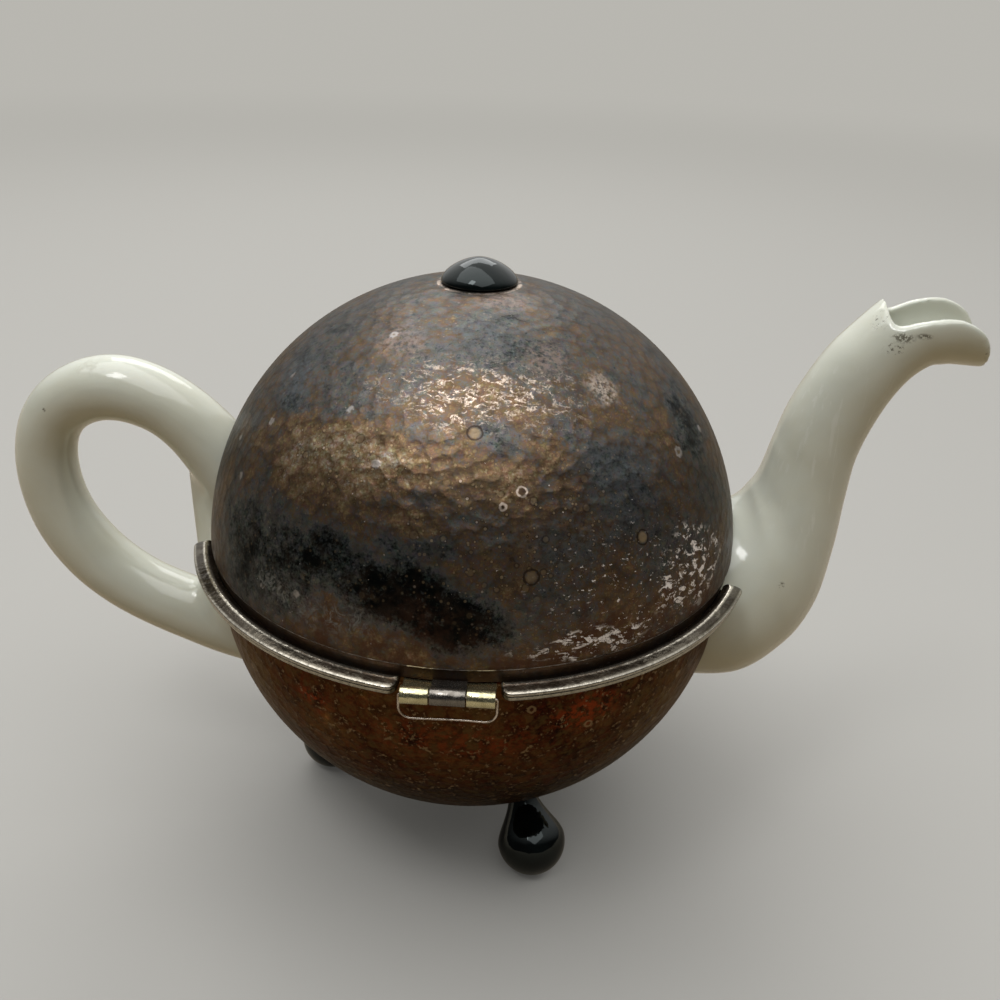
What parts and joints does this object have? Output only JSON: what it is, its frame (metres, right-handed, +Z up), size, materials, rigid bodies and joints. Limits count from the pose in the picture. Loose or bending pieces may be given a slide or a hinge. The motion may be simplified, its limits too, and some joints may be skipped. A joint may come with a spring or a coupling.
{
  "type": "insulated teapot",
  "caption": "Porcelain teapot in a hinged ball-shaped jacket of hammered metal halves lined with felt, on teardrop feet, with an open-beaked spout.",
  "frame": {"origin": "centre of the bounding box, on the surface that the feet stand on", "axes": "+X towards the spout, +Z up, the hinge on the -Y side"},
  "size_m": [0.2332, 0.1404, 0.1502],
  "materials": {
    "dome_plate": "hammered silver plate on copper, tarnished",
    "bowl_copper": "hammered copper, dark and worn",
    "rim_metal": "worn nickel silver",
    "hinge_brass": "bright, worn",
    "steel": "bright",
    "black_gloss": "gloss",
    "felt": "pressed wool felt",
    "porcelain": "glazed white porcelain"
  },
  "bodies": {
    "jacket_base": {"bowl_shell": "bowl_copper", "bowl_felt": "felt", "bowl_rim_back": "rim_metal", "bowl_rim_left": "rim_metal", "bowl_rim_right": "rim_metal", "foot_front": "black_gloss", "foot_back": "black_gloss", "foot_handle_side": "black_gloss", "foot_screw_front": "steel", "foot_screw_back": "steel", "foot_screw_handle_side": "steel", "foot_washer_front": "steel", "foot_washer_back": "steel", "foot_washer_handle_side": "steel", "hinge_leaf_bowl": "hinge_brass", "pot_body": "porcelain", "pot_spout": "porcelain", "pot_handle": "porcelain"},
    "dome": {"dome_shell": "dome_plate", "dome_felt": "felt", "dome_rim_back": "rim_metal", "dome_rim_left": "rim_metal", "dome_rim_right": "rim_metal", "dome_knob": "black_gloss", "knob_inner_washer": "steel", "knob_screw": "steel", "hinge_leaf_dome": "rim_metal"},
    "wire_loop": {"hinge_wire": "steel"},
    "lid": {"pot_lid": "porcelain"}
  },
  "joints": [
    {"name": "dome_hinge", "type": "hinge", "parent": "jacket_base", "child": "dome", "pos_m": [0.00037, -0.06838, 0.0812], "axis": [1, 0, 0], "range_deg": [0, 100]},
    {"name": "wire_swing", "type": "hinge", "parent": "jacket_base", "child": "wire_loop", "pos_m": [0.00037, -0.06838, 0.0812], "axis": [1, 0, 0], "range_deg": [-90, 50]},
    {"name": "lid_lift", "type": "slide", "parent": "jacket_base", "child": "lid", "axis": [0, 0, 1], "range_m": [0, 0.007]}
  ]
}
